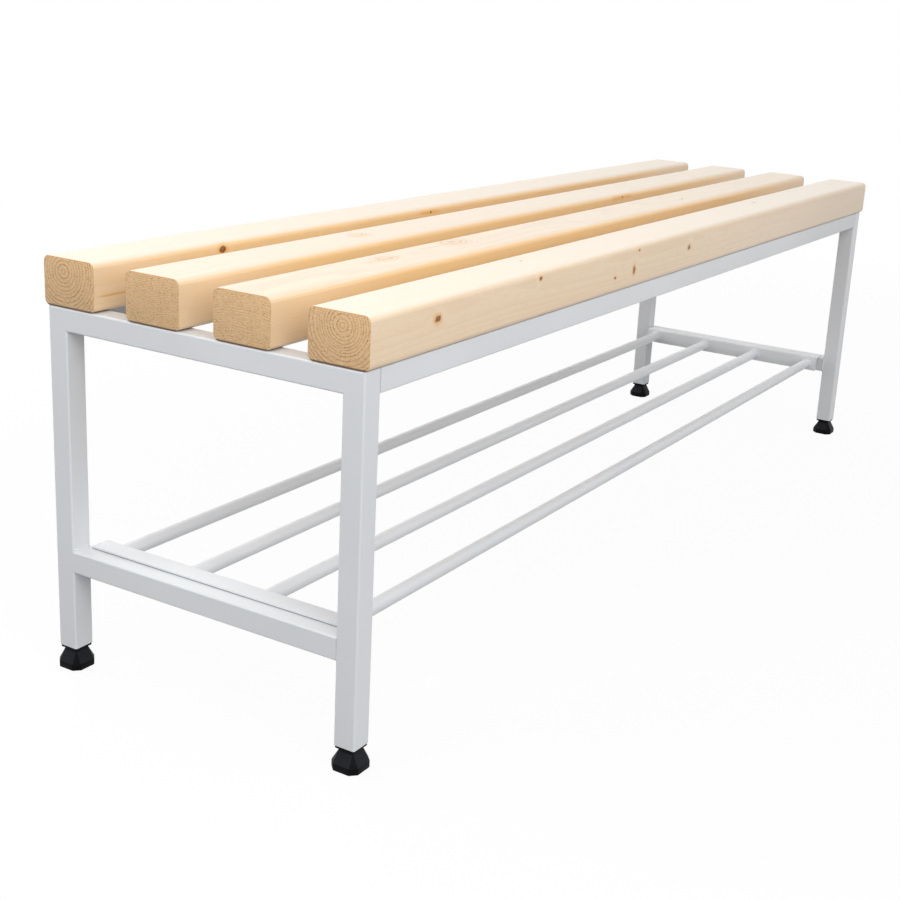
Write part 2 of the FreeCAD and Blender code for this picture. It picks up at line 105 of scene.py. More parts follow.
# a node tree: any node but Math comes from node()
class Graph:
    def __init__(self, tree):
        self.tree = tree

    def node(self, kind, settings=None, sockets=None, out=0):
        made = self.tree.nodes.new(kind)
        for key, value in (settings or {}).items():
            setattr(made, key, value)
        for key, value in (sockets or {}).items():
            feed(self.tree, made.inputs[key], value)
        if out is None:
            return made
        if isinstance(out, tuple):
            return [Wire(self.tree, made.outputs[key]) for key in out]
        return Wire(self.tree, made.outputs[out])

    def place(self):
        return self.node("ShaderNodeTexCoord", out="Object")

    def facing(self):
        return self.node("ShaderNodeNewGeometry", out="Normal")

    def vector(self, x, y, z):
        return self.node("ShaderNodeCombineXYZ", {}, {"X": x, "Y": y, "Z": z})

    def split(self, vector, *axes):
        return self.node("ShaderNodeSeparateXYZ", {}, {"Vector": vector}, axes)

    def noise(self, place, scale, detail=2.0, rough=0.5):
        return self.node("ShaderNodeTexNoise", {},
                         {"Vector": place, "Scale": scale, "Detail": detail, "Roughness": rough})

    def cells(self, place, scale):
        return self.node("ShaderNodeTexVoronoi", {}, {"Vector": place, "Scale": scale}, "Distance")

    def ramp(self, value, low, high):       # smooth 0 to 1 between two values, or 1 to 0 where low is larger
        return self.node("ShaderNodeMapRange", {"interpolation_type": "SMOOTHSTEP"},
                         {"Value": value, "From Min": low, "From Max": high})

    def mix(self, share, first, second):
        return self.node("ShaderNodeMix", {"data_type": "RGBA"}, {0: share, 6: first, 7: second}, 2)

    def surface(self, sockets, height, strength, depth):
        bump = self.node("ShaderNodeBump", {}, {"Strength": strength, "Distance": depth, "Height": height})
        shader = self.node("ShaderNodeBsdfPrincipled", {}, {**sockets, "Normal": bump})
        self.node("ShaderNodeOutputMaterial", {}, {"Surface": shader}, None)


def feed(tree, slot, value):
    if isinstance(value, Wire):
        tree.links.new(value.socket, slot)
    elif slot.type == "RGBA" and len(value) == 3:
        slot.default_value = (*value, 1.0)
    else:
        slot.default_value = value


def newFinish(name):
    material = bpy.data.materials.new(name)
    material.use_nodes = True
    material.node_tree.nodes.clear()
    return material, Graph(material.node_tree)


def newObject(name, data):
    made = bpy.data.objects.new(name, data)
    bpy.context.scene.collection.objects.link(made)
    return made


def middle(node):
    low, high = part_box(node)
    return (Vector(low) + Vector(high)) / 2


# powder coat: fine orange peel over a barely uneven pale grey
coat = {
    "colour": (0.79, 0.81, 0.835), "shade": (0.755, 0.775, 0.80), "cloudScale": 5.0, "cloudFade": (0.3, 0.7),
    "peelScale": 620.0, "peelRough": 0.45, "peelBump": 0.35, "peelDepth": 0.00018,
    "rough": 0.34, "peelSpread": 0.16, "cloudSpread": 0.08, "shine": 0.5,
    # seam is the colour of a painted shadow line where a rack angle meets the crossbar
    "seam": (0.20, 0.205, 0.215), "seamShare": 0.85, "seamHeight": 1.1 * mm, "seamFade": (1.4, 0.6),
    "seamInset": (0.9 * mm, 0.5 * mm),
}


def powderCoat(name, seamed=False):
    material, g = newFinish(name)
    place = g.place()
    peel = g.noise(place, coat["peelScale"], detail=2.0, rough=coat["peelRough"])
    cloud = g.noise(place, coat["cloudScale"], detail=3.0)
    colour = g.mix(g.ramp(cloud, *coat["cloudFade"]), coat["shade"], coat["colour"])
    if seamed:      # painted shadow: a dark line on a rack angle's end edge, just above the crossbar it stands on
        x, z = g.split(place, "X", "Z")
        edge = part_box("rack_angle_right")[1][0]
        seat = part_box("lower_crossbar_right")[1][2]
        onEdge = g.ramp(abs(x), *[edge - inset for inset in coat["seamInset"]])
        shadeAtSeat = g.ramp(z, *[seat + coat["seamHeight"] * times for times in coat["seamFade"]])
        colour = g.mix(onEdge * shadeAtSeat * coat["seamShare"], colour, coat["seam"])
    rough = coat["rough"] + (peel - 0.5) * coat["peelSpread"] + (cloud - 0.5) * coat["cloudSpread"]
    g.surface({"Base Color": colour, "Roughness": rough, "Specular IOR Level": coat["shine"]},
              peel, coat["peelBump"], coat["peelDepth"])
    return material


# moulded black plastic with a fine spark texture, and dust on what faces up
plastic = {
    "colour": (0.0025, 0.0025, 0.003), "worn": (0.006, 0.0065, 0.008), "smearScale": 45.0, "smearFade": (0.38, 0.72),
    "dust": (0.020, 0.021, 0.025), "dustSlope": (0.12, 0.45), "dustLeast": 0.55, "dustSmear": 0.6,
    "grainScale": 1500.0, "grainRough": 0.6, "grainBump": 0.3, "grainDepth": 0.0002,
    "rough": 0.46, "roughSpread": 0.2, "shine": 0.06,
}


def blackPlastic():
    material, g = newFinish("blackPlastic")
    place = g.place()
    grain = g.noise(place, plastic["grainScale"], detail=3.0, rough=plastic["grainRough"])
    smear = g.noise(place, plastic["smearScale"], detail=3.0)
    upward = g.ramp(g.split(g.facing(), "Z")[0], *plastic["dustSlope"])
    colour = g.mix(g.ramp(smear, *plastic["smearFade"]), plastic["colour"], plastic["worn"])
    colour = g.mix(upward * (plastic["dustLeast"] + smear * plastic["dustSmear"]), colour, plastic["dust"])
    rough = plastic["rough"] + (grain - 0.5) * plastic["roughSpread"] + (smear - 0.5) * plastic["roughSpread"]
    g.surface({"Base Color": colour, "Roughness": rough, "Specular IOR Level": plastic["shine"]},
              grain, plastic["grainBump"], plastic["grainDepth"])
    return material


# zinc plate with faint crystals
zinc = {
    "bright": (0.66, 0.67, 0.69), "dull": (0.47, 0.48, 0.50), "cellScale": 420.0, "cellShare": 0.2,
    "filmScale": 130.0, "filmFade": (0.35, 0.75), "filmBump": 0.12, "filmDepth": 0.0002,
    "rough": 0.34, "roughSpread": 0.3,
}


def zincPlate():
    material, g = newFinish("zincPlate")
    place = g.place()
    cell = g.cells(place, zinc["cellScale"])
    film = g.noise(place, zinc["filmScale"], detail=3.0)
    colour = g.mix(g.ramp(film + cell * zinc["cellShare"], *zinc["filmFade"]), zinc["bright"], zinc["dull"])
    rough = zinc["rough"] + (film - 0.5) * zinc["roughSpread"]
    g.surface({"Base Color": colour, "Roughness": rough, "Metallic": 1.0}, film, zinc["filmBump"], zinc["filmDepth"])
    return material


# spruce: growth rings round a pith that wanders along the slat, cut by the faces
# lengths are in millimetres from the slat's middle
spruce = {
    "early": (0.885, 0.705, 0.505), "late": (0.72, 0.475, 0.265), "blush": (0.86, 0.635, 0.43),
    # bleached is the colour of a painted pale sheen on the tops
    # warm is the colour of painted bounce light on the sides in the gaps
    "warmBounce": (0.86, 0.56, 0.245), "fleck": (0.66, 0.43, 0.26), "sheenPale": (0.95, 0.87, 0.755),
    "endEarly": (0.75, 0.475, 0.24), "endLate": (0.36, 0.18, 0.065), "endPale": (0.88, 0.67, 0.42),
    "pore": (0.20, 0.11, 0.05), "rim": (0.72, 0.36, 0.11), "resin": (0.78, 0.42, 0.12),
    "knot": (0.46, 0.19, 0.05), "knotHalo": (0.80, 0.44, 0.16), "knotDark": (0.13, 0.040, 0.005),
    # seat is the colour of a painted contact shadow under the slat
    "seat": (0.10, 0.06, 0.035),
    "rough": 0.34, "roughFibre": 0.14, "roughEnd": 0.26, "roughLate": 0.05, "shine": 0.5,
    "lacquer": 0.3, "lacquerRough": 0.3, "bump": 0.25, "bumpDepth": 0.0005,
}
# noise on the wood: scale along, across and up, then detail and roughness
grain = {
    "wobble": ((0.0045, 0.035, 0.035), 3.0, 0.5), "fibre": ((0.012, 1.1, 1.1), 4.0, 0.62),
    "tone": ((0.0016, 0.03, 0.03), 2.0, 0.5), "mottle": ((0.05, 0.14, 0.14), 3.0, 0.65),
    "fleck": ((0.06, 0.8, 0.8), 2.0, 0.6), "poreField": ((1.0, 0.25, 0.25), 2.0, 0.5),
    "chip": ((1.0, 0.35, 0.8), 3.0, 0.75), "broken": ((1.0, 0.45, 0.45), 3.0, 0.75),
    "brokenField": ((1.0, 0.06, 0.06), 2.0, 0.5),
}
# the values between which a mark fades in: of the normal, of a noise, of the ring, or a depth
fades = {
    "endFace": (0.55, 0.85), "gapBounceSide": (-0.35, -0.95), "topSide": (0.4, 0.95),
    "blotch": (0.42, 0.56), "tone": (0.42, 0.75), "mottle": (0.45, 0.72), "fibre": (0.50, 0.78),
    "fleck": (0.62, 0.76), "pore": (0.36, 0.18), "poreField": (0.38, 0.58), "chip": (0.52, 0.64),
    "saw": (0.40, 0.75), "broken": (0.40, 0.60), "brokenField": (0.32, 0.62),
    "late": (0.30, 0.90), "lateStop": (1.0, 0.93), "thinLate": (0.55, 0.90), "thinStop": (1.0, 0.94),
    "frontKnot": (-4.0, -16.0), "frontStreak": (0.0, -20.0), "belowTop": (4.0, 14.0), "swirlTop": (14.0, 24.0),
}
# how much each mark covers
shares = {
    "figureLeast": 0.35, "swirl": 1.1, "swirlWithoutSheen": 0.8, "tone": 0.5, "mottle": 0.60, "fibre": 0.30,
    "fleck": 0.30, "resin": 0.80, "knotHalo": 0.72, "knot": 0.80, "knotDark": 0.90, "saw": 0.60,
    "endLineLeast": 0.28, "endLineBroken": 0.82, "chip": 0.40, "pore": 0.75, "rim": 0.8,
}
relief = {"fibre": 0.45, "late": 0.25, "knot": 0.4, "saw": 0.9, "pore": 0.9, "thinLate": 0.3}
# painted warm bounce light on the gap sides: its share at the slat ends, and where it fades in from the ends, in mm
gapBounceEnds = {"endShare": 0.4, "paleFrom": 5.0, "paleTo": 230.0}
rings = {"wander": 12.0, "wanderScale": 0.0017, "wanderUpScale": 0.0019, "wanderAt": 0.5, "wanderUpAt": 3.3,
         "uneven": 2.4, "unevenScale": 0.21, "unevenAt": 1.5}
# knots and swirls in radii
knotShape = {"raggedScale": 210.0, "ragged": 1.3, "core": (1.0, 0.6), "dark": (1.0, 0.55), "halo": (2.1, 1.0),
             "blotchScale": 330.0, "darkLeast": 0.72, "push": 5.0, "pushBy": 0.7}
swirlShape = {"squeeze": 0.4, "mark": (2.6, 0.5), "push": 3.2, "pushBy": 0.9}
streakShape = {"ragged": 1.6, "core": 0.2, "start": 12.0, "stop": 25.0}
endMarks = {"poreScale": 0.62, "chipShift": 9.0, "brokenShift": 4.0, "sawAlong": 0.2, "sawSlant": 0.10,
            "sawTilt": 0.05, "sawSpacing": 0.8, "sawDetail": 3.0, "sawRough": 0.75,
            "rimRagged": 1.2, "rimTop": (1.3, 0.4), "rimSide": (0.9, 0.2), "rimSideShare": 0.4}
# a painted contact shadow along a slat's bottom, where it sits on the frame
seatShadowLine = {"height": (2.5, 1.2), "fade": 2.0, "overRail": 0.8, "share": 0.92}
# pith and lean are across and up; a knot is face, along, side, radius, squeeze; a swirl is along, across, radius;
# a resin streak is face, from, to, side, half width
# each row also has a share of painted warm bounce light on its gap side and of a painted pale sheen on its top
slatCuts = {
    "front": {
        "seed": 2.7, "pith": (-4.0, 13.0), "lean": (0.003, -0.002), "ring": 3.4, "wobble": 3.2, "figure": 0.22,
        "warmBounce": 0.0, "endLines": 1.0, "topSheen": 0.68,
        "knots": [("front", -640, 6.1, 4.0, 0.5), ("front", -35, 4.3, 3.3, 0.6), ("front", -201, -4.2, 5.4, 2.2),
                  ("front", -253, -7.0, 1.7, 0.4), ("front", -438, 17.5, 2.5, 0.6), ("front", -190, 18.5, 1.5, 0.4),
                  ("top", -404, 9.7, 1.1, 0.5), ("top", 310, 8.0, 2.2, 0.5)],
        "swirls": [], "streaks": []},
    "mid_front": {
        "seed": 9.1, "pith": (10.0, -150.0), "lean": (0.010, 0.009), "ring": 2.2, "wobble": 5.0, "figure": 0.60,
        "warmBounce": 0.80, "endLines": 0.6, "topSheen": 0.44,
        "knots": [("top", 250, -12.0, 2.0, 0.5)],
        "swirls": [(-356, 14.3, 10.0), (-505, 8.0, 7.0)],
        "streaks": [("top", -545, -470, 6.0, 1.4), ("top", -430, -375, 12.0, 1.0)]},
    "mid_rear": {
        "seed": 15.4, "pith": (-46.0, -140.0), "lean": (-0.008, 0.011), "ring": 2.0, "wobble": 4.4, "figure": 0.38,
        "warmBounce": 0.80, "endLines": 0.6, "topSheen": 0.52,
        "knots": [("front", 231, 20.0, 1.5, 0.4)],
        "swirls": [(-402, 4.0, 7.0)],
        "streaks": [("front", 190, 275, 20.0, 4.5)]},
    "rear": {
        "seed": 21.8, "pith": (5.0, 14.0), "lean": (-0.003, 0.003), "ring": 3.9, "wobble": 3.4, "figure": 0.30,
        "warmBounce": 0.74, "endLines": 1.0, "topSheen": 0.65,
        "knots": [("front", -557, 17.0, 4.4, 0.45), ("front", -134, 18.0, 1.8, 0.4)],
        "swirls": [],
        "streaks": [("front", -748, -620, -9.0, 1.9), ("front", -165, -105, 18.5, 3.5)]},
}


def far(first, second, squeeze=1.0):
    return (first * first * squeeze + second * second).root()


def spruceFinish(row):
    cut = slatCuts[row]
    seed = cut["seed"]
    centre = middle(f"slat_{row}")
    halfLong, halfWide, halfHigh = [(high - low) / 2 / mm for low, high in zip(*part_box(f"slat_{row}"))]
    material, g = newFinish(f"spruce_{row}")
    place = g.place()
    x, y, z = g.split(place, "X", "Y", "Z")
    along = x / mm
    across = (y - centre.y) / mm
    up = (z - centre.z) / mm

    def fade(value, key):
        return g.ramp(value, *fades[key])

    def grainNoise(key, alongShift=0.0, upShift=0.0):
        (long, wide, high), detail, rough = grain[key]
        spot = g.vector(along * long + alongShift, across * wide, up * high + upShift)
        return g.noise(spot, 1.0, detail, rough)

    # painted warm bounce light: the sides in the gaps are a warmer tone, paler at the ends
    endSide, outSide, topSide = g.split(g.facing(), "X", "Y", "Z")
    endFace = fade(abs(endSide), "endFace")
    inward = g.ramp(abs(along), halfLong - gapBounceEnds["paleFrom"], halfLong - gapBounceEnds["paleTo"])
    gapBounceSide = fade(outSide, "gapBounceSide") * (gapBounceEnds["endShare"] + inward * (1.0 - gapBounceEnds["endShare"]))

    # knots: a branch from the pith to one face, which pushes the rings aside
    bulge = 0.0
    knotCore = 0.0
    knotDark = 0.0
    knotHalo = 0.0
    ragged = g.noise(place, knotShape["raggedScale"], detail=3.0) - 0.5
    blotch = fade(g.noise(place, knotShape["blotchScale"], detail=2.0), "blotch")
    dark = knotShape["darkLeast"] + blotch * (1.0 - knotShape["darkLeast"])
    for face, knotAlong, knotSide, radius, squeeze in cut["knots"]:
        sideways = up - knotSide if face == "front" else across - knotSide
        depth = fade(across, "frontKnot") if face == "front" else fade(up, "belowTop")
        reach = far(along - knotAlong, sideways, squeeze)
        rough = reach + ragged * radius * knotShape["ragged"]
        core, black, halo = [g.ramp(rough, *[radius * times for times in knotShape[key]])
                             for key in ("core", "dark", "halo")]
        knotCore = depth * core + knotCore
        knotDark = depth * black * dark + knotDark
        knotHalo = depth * halo + knotHalo
        bulge = depth * g.ramp(reach, radius * knotShape["push"], 0.0) * radius * knotShape["pushBy"] + bulge

    # swirls: a knot just below the top, which only the rings show
    swirl = 0.0
    for knotAlong, knotSide, radius in cut["swirls"]:
        reach = far(along - knotAlong, across - knotSide, swirlShape["squeeze"])
        push = g.ramp(reach, radius * swirlShape["push"], 0.0) * radius * swirlShape["pushBy"]
        bulge = fade(up, "belowTop") * push + bulge
        swirl = fade(up, "swirlTop") * g.ramp(reach, *[radius * times for times in swirlShape["mark"]]) + swirl

    resin = 0.0
    for face, first, last, side, halfWidth in cut["streaks"]:
        sideways = abs(up - side if face == "front" else across - side) + ragged * streakShape["ragged"]
        depth = fade(across, "frontStreak") if face == "front" else fade(up, "belowTop")
        span = g.ramp(along, first, first + streakShape["start"]) * g.ramp(along, last, last - streakShape["stop"])
        resin = depth * span * g.ramp(sideways, halfWidth, halfWidth * streakShape["core"]) + resin

    # rings
    wander = g.noise(g.vector(along * rings["wanderScale"], seed, rings["wanderAt"]), 1.0, detail=1.0) - 0.5
    wanderUp = g.noise(g.vector(along * rings["wanderUpScale"], rings["wanderUpAt"], seed), 1.0, detail=1.0) - 0.5
    sideStep = across - cut["pith"][0] - along * cut["lean"][0] - wander * rings["wander"]
    upStep = up - cut["pith"][1] - along * cut["lean"][1] - wanderUp * rings["wander"]
    wobble = grainNoise("wobble", alongShift=seed) - 0.5
    phase = (far(sideStep, upStep) + wobble * cut["wobble"] + bulge) / cut["ring"]
    uneven = g.noise(g.vector(phase * rings["unevenScale"], seed, rings["unevenAt"]), 1.0, detail=1.0) - 0.5
    ring = (phase + uneven * rings["uneven"]).fraction()
    late = fade(ring, "late") * fade(ring, "lateStop")
    thinLate = fade(ring, "thinLate") * fade(ring, "thinStop")

    # fibres and flecks along the slat
    fibre = grainNoise("fibre")
    tone = grainNoise("tone", upShift=seed)
    mottle = grainNoise("mottle", upShift=seed)
    flecks = fade(grainNoise("fleck", alongShift=seed), "fleck")

    # torn pores, saw marks and a rim on the ends
    cell = g.cells(g.vector(along, across * endMarks["poreScale"], up * endMarks["poreScale"]), 1.0)
    pores = fade(cell, "pore") * fade(grainNoise("poreField"), "poreField")
    chips = fade(grainNoise("chip", alongShift=endMarks["chipShift"]), "chip")
    sawSpot = g.vector(along * endMarks["sawAlong"], across * endMarks["sawSlant"] + up * endMarks["sawTilt"],
                       up * endMarks["sawSpacing"] - across * endMarks["sawSlant"])
    saw = g.noise(sawSpot, 1.0, endMarks["sawDetail"], endMarks["sawRough"])
    broken = fade(grainNoise("broken"), "broken")
    broken = broken * fade(grainNoise("brokenField", alongShift=endMarks["brokenShift"]), "brokenField")
    rimRagged = ragged * endMarks["rimRagged"]
    rimTop = g.ramp(up + rimRagged, *[halfHigh - inset for inset in endMarks["rimTop"]])
    rimSide = g.ramp(abs(across) + rimRagged, *[halfWide - inset for inset in endMarks["rimSide"]])
    rim = endFace * rimTop.largest(rimSide * endMarks["rimSideShare"])

    # colours, each mark over the ones before it
    figure = (shares["figureLeast"] + tone) * cut["figure"] + swirl * shares["swirl"]
    # painted sheen: what faces up pales towards a whitish tone, less over the swirls
    topSheen = fade(topSide, "topSide") * (cut["topSheen"] * (1.0 - swirl * shares["swirlWithoutSheen"]))
    longWood = g.mix(late * figure, spruce["early"], spruce["late"])
    # the warm mark on the gap sides is painted bounce light
    for share, colour in (
            (fade(tone, "tone") * shares["tone"], "blush"), (fade(mottle, "mottle") * shares["mottle"], "blush"),
            (fade(fibre, "fibre") * shares["fibre"], "late"), (flecks * shares["fleck"], "fleck"),
            (gapBounceSide * cut["warmBounce"], "warmBounce"), (topSheen, "sheenPale"), (resin * shares["resin"], "resin"),
            (knotHalo * shares["knotHalo"], "knotHalo"), (knotCore * shares["knot"], "knot"),
            (knotDark * shares["knotDark"], "knotDark")):
        longWood = g.mix(share, longWood, spruce[colour])
    endLines = thinLate * (shares["endLineLeast"] + broken * shares["endLineBroken"]) * cut["endLines"]
    endWood = g.mix(fade(saw, "saw") * shares["saw"], spruce["endEarly"], spruce["endPale"])
    for share, colour in ((endLines, "endLate"), (chips * shares["chip"], "endPale"), (pores * shares["pore"], "pore"),
                          (rim * shares["rim"], "rim")):
        endWood = g.mix(share, endWood, spruce[colour])
    wood = g.mix(endFace, longWood, endWood)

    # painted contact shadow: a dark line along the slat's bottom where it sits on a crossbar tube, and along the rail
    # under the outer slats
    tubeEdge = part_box("top_crossbar_right")[0][0] / mm
    overTube = g.ramp(abs(along), tubeEdge - seatShadowLine["fade"], tubeEdge)
    if row in sides:
        overTube = overTube.largest(seatShadowLine["overRail"])
    shadeAtSeat = g.ramp(up, *[height - halfHigh for height in seatShadowLine["height"]])
    wood = g.mix(shadeAtSeat * overTube * seatShadowLine["share"], wood, spruce["seat"])

    endHeight = saw * relief["saw"] - pores * relief["pore"] - thinLate * relief["thinLate"]
    height = fibre * relief["fibre"] + late * relief["late"] - knotCore * relief["knot"] + endFace * endHeight
    rough = (spruce["rough"] + fibre * spruce["roughFibre"] + endFace * spruce["roughEnd"]
             - late * spruce["roughLate"])
    g.surface({"Base Color": wood, "Roughness": rough, "Specular IOR Level": spruce["shine"],
               "Coat Weight": spruce["lacquer"], "Coat Roughness": spruce["lacquerRough"]},
              height, spruce["bump"], spruce["bumpDepth"])
    return material


powder = powderCoat("powderCoat")
seamedPowder = powderCoat("powderCoatSeamShadow", True)
black = blackPlastic()
steel = zincPlate()
finishes = {"powder_coat": powder, "black_plastic": black, "zinc_steel": steel}
slotOf = {part["node"]: part["material_slot"] for part in frame["record"]["subparts"]}
for name, node in frame["nodes"].items():
    if name.startswith("slat_") and slotOf[name] == "spruce":
        material = spruceFinish(name.removeprefix("slat_"))
    elif name.startswith("rack_angle"):
        material = seamedPowder
    else:
        material = finishes[slotOf[name]]
    node.data.materials.clear()
    node.data.materials.append(material)
print("finishes made")


# a new piece, in place of the nodes that it replaces
def show(name, mesh, body, slot, *replaced):
    piece = newObject(name, mesh)
    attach(piece, body)
    if replaced:
        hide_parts(*replaced)


# a copy of a node with its sharp edges eased, for the light that edges catch; angles in degrees
easing = {"merge": 0.004 * mm, "flat": 0.4, "sharp": 28, "smooth": 32}


def eased(node, edges, body, wanted=None):
    work = bmesh.new()
    work.from_mesh(frame["nodes"][node].data)
    bmesh.ops.remove_doubles(work, verts=work.verts, dist=easing["merge"])
    bmesh.ops.dissolve_limit(work, angle_limit=math.radians(easing["flat"]), verts=work.verts, edges=work.edges)
    sharp = [edge for edge in work.edges if len(edge.link_faces) == 2
             and edge.calc_face_angle() > math.radians(easing["sharp"]) and (wanted is None or wanted(edge))]
    bmesh.ops.bevel(work, geom=sharp, offset=edges["width"], segments=edges["steps"], profile=0.5, affect="EDGES",
                    clamp_overlap=True)
    for face in work.faces:
        face.smooth = True
    for edge in work.edges:
        edge.smooth = len(edge.link_faces) == 2 and edge.calc_face_angle() < math.radians(easing["smooth"])
    mesh = bpy.data.meshes.new(f"{node}_eased")
    work.to_mesh(mesh)
    work.free()
    mesh.materials.append(frame["nodes"][node].data.materials[0])
    show(f"{node}_eased", mesh, body, slotOf[node], node)


foot = {"width": 0.7 * mm, "steps": 3}
plug = {"width": 0.5 * mm, "steps": 2}
slatEnd = {"width": 0.5 * mm, "steps": 2, "within": 0.01 * mm}
rail = {"width": 0.3 * mm, "steps": 2}
angle = {"width": 0.5 * mm, "steps": 2}
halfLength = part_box("slat_front")[1][0]


def onSlatEnd(edge):
    return all(abs(abs(vert.co.x) - halfLength) < slatEnd["within"] for vert in edge.verts)


for corner in corners:
    eased(f"foot_base_{corner}", foot, f"foot_{corner}")
    eased(f"leg_plug_{corner}", plug, "frame")
for row in rows:
    eased(f"slat_{row}", slatEnd, "frame", onSlatEnd)
for side in sides:
    eased(f"{side}_rail", rail, "frame")
for end in ends:
    eased(f"rack_angle_{end}", angle, "frame")
print("edges eased")


# geometry node trees
def newTree(name, inputs):
    tree = bpy.data.node_groups.new(name, "GeometryNodeTree")
    for label, kind in inputs.items():
        tree.interface.new_socket(label, in_out="INPUT", socket_type=f"NodeSocket{kind}")
    tree.interface.new_socket("Geometry", in_out="OUTPUT", socket_type="NodeSocketGeometry")
    g = Graph(tree)
    return tree, g, dict(zip(inputs, g.node("NodeGroupInput", out=tuple(inputs))))


def closeTree(g, instance, points, rotation, finish):
    placed = g.node("GeometryNodeInstanceOnPoints", {},
                    {"Points": points, "Instance": instance, "Rotation": rotation})
    real = g.node("GeometryNodeRealizeInstances", {}, {"Geometry": placed})
    dressed = g.node("GeometryNodeSetMaterial", {}, {"Geometry": real, "Material": finish})
    g.node("NodeGroupOutput", {}, {"Geometry": dressed}, None)


# runs a tree on a handful of points and keeps the plain mesh
def grow(name, tree, points, values):
    seed = bpy.data.meshes.new(f"{name}_points")
    seed.from_pydata(points, [], [])
    host = newObject(f"{name}_host", seed)
    modifier = host.modifiers.new("grow", "NODES")
    modifier.node_group = tree
    for item in tree.interface.items_tree:
        if item.in_out == "INPUT" and item.name in values:
            modifier[item.identifier] = values[item.name]
    view = bpy.context.evaluated_depsgraph_get()
    mesh = bpy.data.meshes.new_from_object(host.evaluated_get(view), preserve_all_data_layers=True, depsgraph=view)
    host.modifiers.clear()
    bpy.data.objects.remove(host)
    mesh.name = name
    return mesh


def joined(g, *parts):
    join = g.node("GeometryNodeJoinGeometry", {}, {}, None)
    for part in parts:
        g.tree.links.new(part.socket, join.inputs[0])
    return Wire(g.tree, join.outputs[0])


def moved(g, geometry, place=(0.0, 0.0, 0.0), turn=noTurn, size=(1.0, 1.0, 1.0)):
    return g.node("GeometryNodeTransform", {},
                  {"Geometry": geometry, "Translation": place, "Rotation": turn, "Scale": size})


def circle(g, steps, radius):
    return g.node("GeometryNodeCurvePrimitiveCircle", {"mode": "RADIUS"}, {"Resolution": steps, "Radius": radius})


def swept(g, path, section):
    return g.node("GeometryNodeCurveToMesh", {}, {"Curve": path, "Profile Curve": section, "Fill Caps": True})


# a right-hand helix of diamond section round a core, from 0 up to its length
thread = {"turnSteps": 20, "ridgeSides": 4, "coreSides": 24}


def threadNodes(g, radius, depth, pitch, length):
    root = radius - depth
    rise = g.node("GeometryNodeCurveSpiral", {},
                  {"Resolution": thread["turnSteps"], "Rotations": length / pitch, "Start Radius": root,
                   "End Radius": root, "Height": length, "Reverse": True})
    rise = g.node("GeometryNodeSetCurveNormal", {"mode": "Z_UP"}, {"Curve": rise})
    ridge = swept(g, rise, circle(g, thread["ridgeSides"], depth))
    core = g.node("GeometryNodeMeshCylinder", {"fill_type": "NGON"},
                  {"Vertices": thread["coreSides"], "Radius": root, "Depth": length})
    return ridge, core


# studs of the feet
stud = {"radius": 3.95 * mm, "depth": 0.62 * mm, "pitch": 1.25 * mm}


def studTree():
    tree, g, given = newTree("threadedStud", {"Geometry": "Geometry", "Radius": "Float", "Thread Depth": "Float",
                                              "Pitch": "Float", "Length": "Float", "Finish": "Material"})
    length = given["Length"]
    depth = given["Thread Depth"]
    run = length - depth * 2.0      # the thread stops a little short of both ends
    ridge, core = threadNodes(g, given["Radius"], depth, given["Pitch"], run)
    ridge = moved(g, ridge, g.vector(0.0, 0.0, depth))
    core = moved(g, core, g.vector(0.0, 0.0, length / 2.0), size=g.vector(1.0, 1.0, length / run))
    closeTree(g, joined(g, ridge, core), given["Geometry"], noTurn, given["Finish"])
    return tree


studNodes = studTree()
for corner in corners:
    low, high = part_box(f"foot_stud_{corner}")
    base = ((low[0] + high[0]) / 2, (low[1] + high[1]) / 2, low[2])
    mesh = grow(f"threaded_stud_{corner}", studNodes, [base],
                {"Radius": stud["radius"], "Thread Depth": stud["depth"], "Pitch": stud["pitch"],
                 "Length": high[2] - low[2], "Finish": steel})
    show(f"threaded_stud_{corner}", mesh, f"stud_{corner}", "zinc_steel", f"foot_stud_{corner}")
print("studs threaded")

# pan-head screws with a cross recess, head down; recessHeight, recessAt and block are in head sizes
screw = {"headRadius": 4.7 * mm, "headHeight": 2.6 * mm, "headSegments": 32, "headRings": 16, "shankRadius": 2.4 * mm,
         "threadDepth": 0.45 * mm, "threadPitch": 2.2 * mm, "recess": 2.5 * mm, "recessSlot": 0.95 * mm,
         "recessHeight": 1.2, "recessAt": -1.05, "block": 4.0, "seed": 4}


